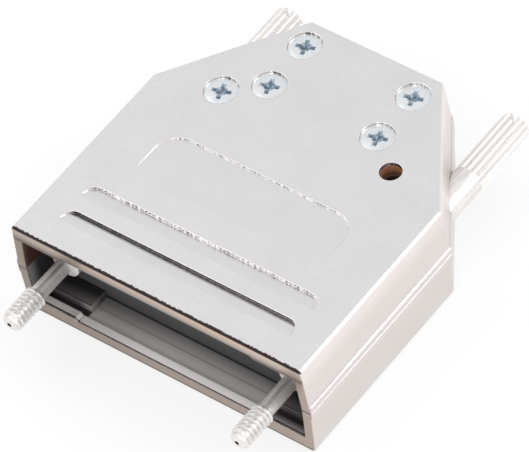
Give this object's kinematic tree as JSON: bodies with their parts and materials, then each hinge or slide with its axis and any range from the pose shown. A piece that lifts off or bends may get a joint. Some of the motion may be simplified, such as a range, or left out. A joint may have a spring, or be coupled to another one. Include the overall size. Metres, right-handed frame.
{
  "type": "d-sub connector hood",
  "caption": "Two-part cast metal connector hood with an open front for a wide flanged connector, a straight round cable exit, screwed shells, a cable clamp and captive fluted jackscrews.",
  "frame": {"origin": "centre of the connector opening in the front face, on the parting plane of the two shells", "axes": "+Y from the connector opening to the cable exit, +Z through the upper shell, +X to the right-hand jackscrew"},
  "size_m": [0.0432, 0.0556, 0.0148],
  "materials": {
    "plated_casting": "satin nickel-plated zinc",
    "plated_screw": "bright nickel-plated steel",
    "zinc_screw": "bright zinc-plated steel",
    "spring_steel": "plain spring steel"
  },
  "bodies": {
    "hood": {"lower_shell": "plated_casting", "upper_shell": "plated_casting", "cover_screw_rear_left": "zinc_screw", "cover_screw_rear_right": "zinc_screw", "cover_screw_mid_left": "zinc_screw", "cover_screw_mid_right": "zinc_screw", "cover_screw_side_left": "zinc_screw", "cover_screw_side_right": "zinc_screw", "clamp_saddle_lower": "plated_screw", "clamp_saddle_upper": "plated_screw", "clamp_screw_left": "zinc_screw", "clamp_screw_right": "zinc_screw"},
    "left_ring": {"retaining_ring_left": "spring_steel"},
    "left_screw": {"jackscrew_left": "plated_screw"},
    "right_ring": {"retaining_ring_right": "spring_steel"},
    "right_screw": {"jackscrew_right": "plated_screw"}
  },
  "joints": [
    {"name": "left_travel", "type": "slide", "parent": "hood", "child": "left_ring", "axis": [0, 1, 0], "range_m": [-0.0005, 0.0055]},
    {"name": "left_turn", "type": "hinge", "parent": "left_ring", "child": "left_screw", "pos_m": [-0.01666, 0, 0], "axis": [0, 1, 0], "continuous": true},
    {"name": "right_travel", "type": "slide", "parent": "hood", "child": "right_ring", "axis": [0, 1, 0], "range_m": [-0.0005, 0.0055]},
    {"name": "right_turn", "type": "hinge", "parent": "right_ring", "child": "right_screw", "pos_m": [0.01666, 0, 0], "axis": [0, 1, 0], "continuous": true}
  ]
}
